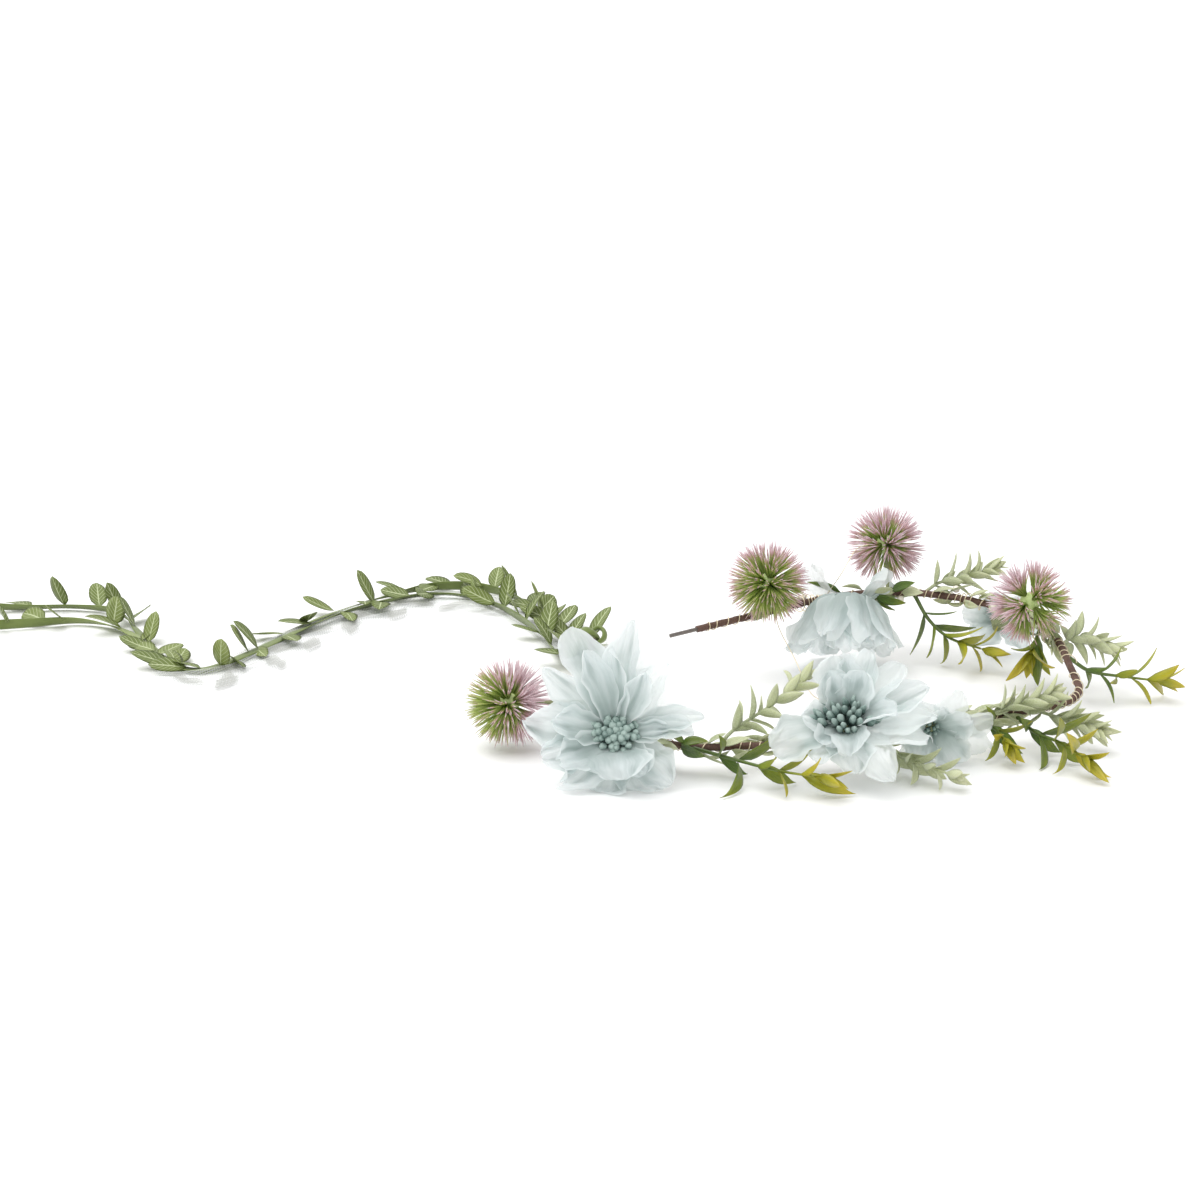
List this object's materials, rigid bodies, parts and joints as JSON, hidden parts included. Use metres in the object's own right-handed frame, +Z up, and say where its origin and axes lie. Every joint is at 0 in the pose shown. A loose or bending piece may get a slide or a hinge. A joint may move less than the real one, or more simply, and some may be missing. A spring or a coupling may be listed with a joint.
{
  "type": "flower crown",
  "caption": "Open wire hair wreath wound with paper tape, dressed with fabric flowers, needle pompoms and leaf sprays, with leaf-trim and tulle tie ribbons at one end.",
  "frame": {"origin": "middle of the base of the crown without its free ribbons, on the table that it lies on", "axes": "+Z up from the table; +Y from the ring's front, where the large flowers are, to its back; +X from the ring's opening towards its closed end"},
  "size_m": [0.56, 0.3167, 0.0619],
  "materials": {
    "core_wire": "satin",
    "paper_tape": "matte",
    "gold_wire": "gloss",
    "beads": "gloss",
    "petals": "matte",
    "stamens": "matte",
    "calyx": "matte",
    "glossy_leaves": "gloss",
    "flocked_leaves": "matte",
    "pompom_stem": "satin",
    "pompom_core": "matte",
    "needles": "satin",
    "leaf_trim": "satin",
    "tulle": "matte"
  },
  "bodies": {
    "front_half": {"core_wire_front": "core_wire", "tape_front": "paper_tape", "gold_wire_front": "gold_wire", "flower_1_outer_petals": "petals", "flower_1_inner_petals": "petals", "flower_1_stamens": "stamens", "flower_1_calyx": "calyx", "flower_2_outer_petals": "petals", "flower_2_inner_petals": "petals", "flower_2_stamens": "stamens", "flower_2_calyx": "calyx", "flower_5_outer_petals": "petals", "flower_5_inner_petals": "petals", "flower_5_stamens": "stamens", "flower_5_calyx": "calyx", "glossy_spray_1": "glossy_leaves", "glossy_spray_3": "glossy_leaves", "glossy_spray_5": "glossy_leaves", "flocked_spray_1": "flocked_leaves", "flocked_spray_4": "flocked_leaves", "flocked_spray_5": "flocked_leaves", "flocked_spray_6": "flocked_leaves", "ribbon_knot": "leaf_trim", "leaf_trim_a": "leaf_trim", "leaf_trim_b": "leaf_trim", "leaf_trim_a_coil": "leaf_trim", "leaf_trim_b_coil": "leaf_trim", "tulle_ribbon": "tulle"},
    "back_half": {"core_wire_back": "core_wire", "tape_back": "paper_tape", "gold_wire_back": "gold_wire", "beads": "beads", "flower_3_outer_petals": "petals", "flower_3_inner_petals": "petals", "flower_3_stamens": "stamens", "flower_3_calyx": "calyx", "flower_4_outer_petals": "petals", "flower_4_inner_petals": "petals", "flower_4_stamens": "stamens", "flower_4_calyx": "calyx", "glossy_spray_2": "glossy_leaves", "glossy_spray_4": "glossy_leaves", "glossy_spray_6": "glossy_leaves", "flocked_spray_2": "flocked_leaves", "flocked_spray_3": "flocked_leaves"},
    "pompom_1": {"pompom_1_stem": "pompom_stem", "pompom_1_core": "pompom_core", "pompom_1_tufts": "needles"},
    "pompom_2": {"pompom_2_stem": "pompom_stem", "pompom_2_core": "pompom_core", "pompom_2_tufts": "needles"},
    "pompom_3": {"pompom_3_stem": "pompom_stem", "pompom_3_core": "pompom_core", "pompom_3_tufts": "needles"},
    "pompom_4": {"pompom_4_stem": "pompom_stem", "pompom_4_core": "pompom_core", "pompom_4_tufts": "needles"}
  },
  "joints": [
    {"name": "wire_flex", "type": "hinge", "parent": "front_half", "child": "back_half", "pos_m": [0.09246, 0.00173, 0.01889], "axis": [0, 0.1253, -0.9921], "range_deg": [-5, 20]},
    {"name": "pompom_1_bend", "type": "hinge", "parent": "front_half", "child": "pompom_1", "pos_m": [-0.08459, -0.03011, 0.01487], "axis": [-0.3058, 0.9446, 0.1193], "range_deg": [0, 25]},
    {"name": "pompom_2_bend", "type": "hinge", "parent": "back_half", "child": "pompom_2", "pos_m": [-0.02578, 0.05453, 0.02557], "axis": [0.848, 0.5257, 0.0664], "range_deg": [-10, 15]},
    {"name": "pompom_3_bend", "type": "hinge", "parent": "back_half", "child": "pompom_3", "pos_m": [0.02867, 0.07798, 0.02853], "axis": [0.9998, 0.0188, 0.0024], "range_deg": [-12, 15]},
    {"name": "pompom_4_bend", "type": "hinge", "parent": "back_half", "child": "pompom_4", "pos_m": [0.09054, 0.02906, 0.02235], "axis": [0.2044, -0.9712, -0.1227], "range_deg": [-10, 10]}
  ]
}
